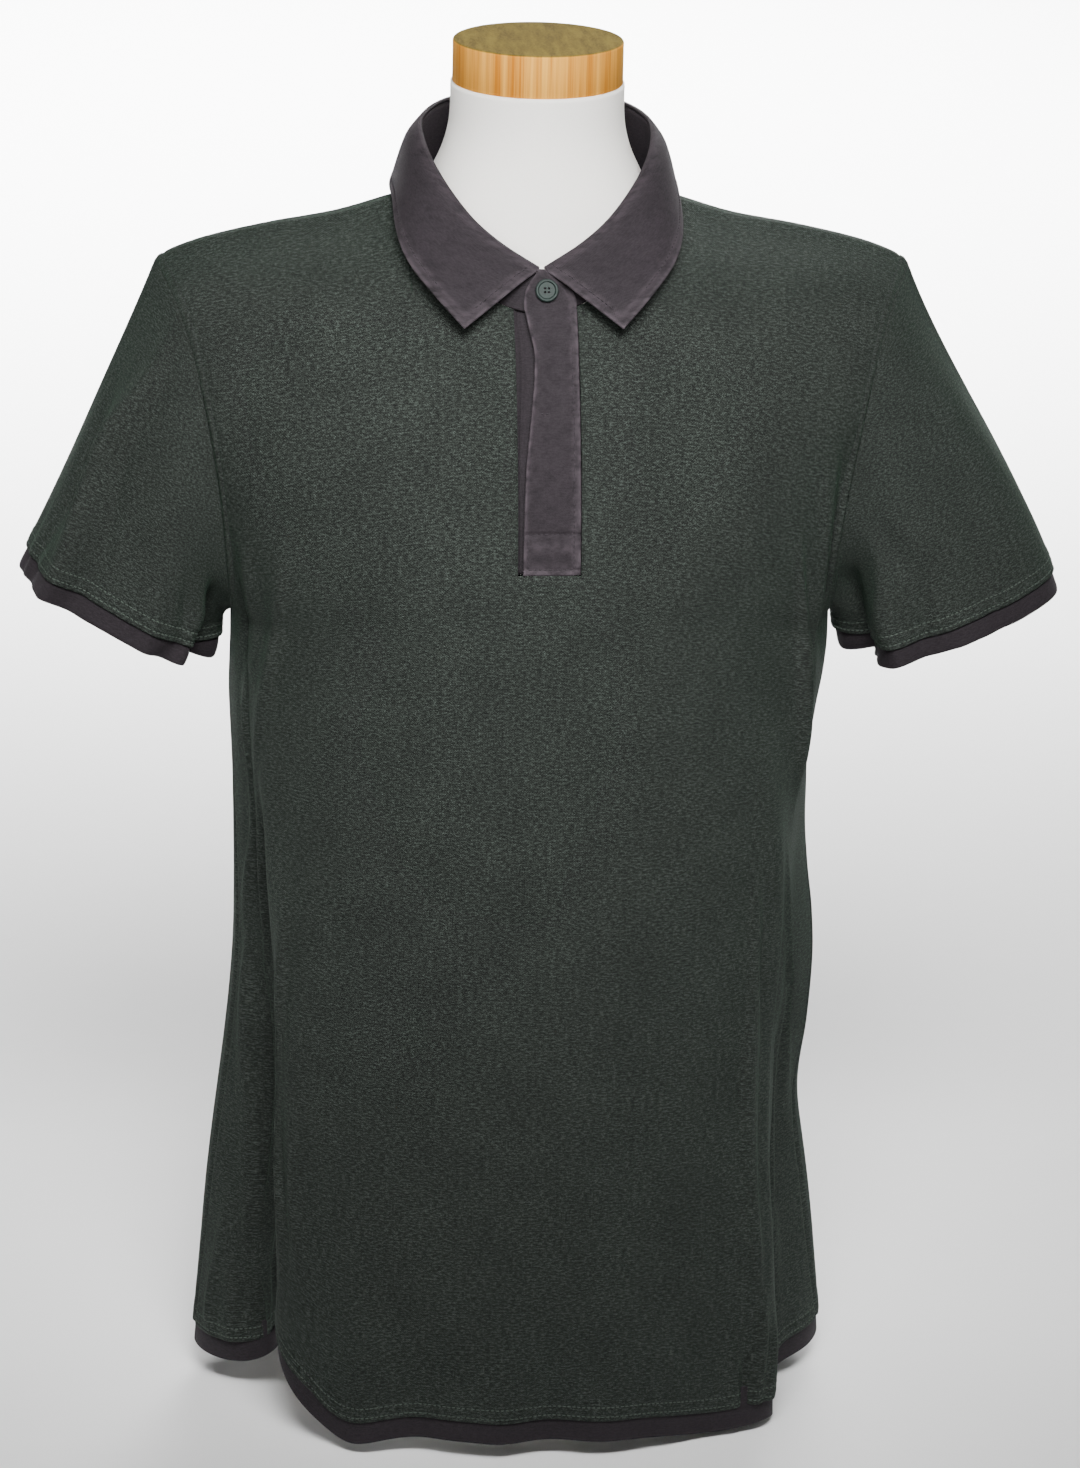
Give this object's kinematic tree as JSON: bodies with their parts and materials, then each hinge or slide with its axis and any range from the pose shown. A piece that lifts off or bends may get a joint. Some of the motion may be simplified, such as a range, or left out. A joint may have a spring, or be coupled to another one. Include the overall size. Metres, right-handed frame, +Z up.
{
  "type": "polo shirt on a limbless dress form",
  "caption": "Short-sleeved knitted polo shirt with a woven shirt collar, half placket and woven edge bands, worn by a smooth limbless dress form with a wooden neck cap.",
  "frame": {"origin": "middle of the form's foot, on the surface it stands on", "axes": "+Z up, the shirt's front faces -Y, the wearer's left is +X"},
  "size_m": [0.6064, 0.2402, 0.8399],
  "materials": {
    "pique": "dark green heather pique knit",
    "woven": "charcoal plain woven cotton",
    "button": "dark green, semi-gloss",
    "form": "cream, matt",
    "cap_wood": "laminated bamboo, satin",
    "foot_wood": "pale wood, satin"
  },
  "bodies": {
    "root": {"front_panel": "pique", "back_panel": "pique", "sleeve_left": "pique", "sleeve_right": "pique", "hem_band_front": "woven", "hem_band_back": "woven", "cuff_band_left": "woven", "cuff_band_right": "woven", "collar_stand": "woven", "collar_leaf": "woven", "placket_over": "woven", "placket_under": "woven", "button_top": "button", "form_torso": "form", "form_cap": "cap_wood", "form_foot": "foot_wood"}
  },
  "joints": []
}
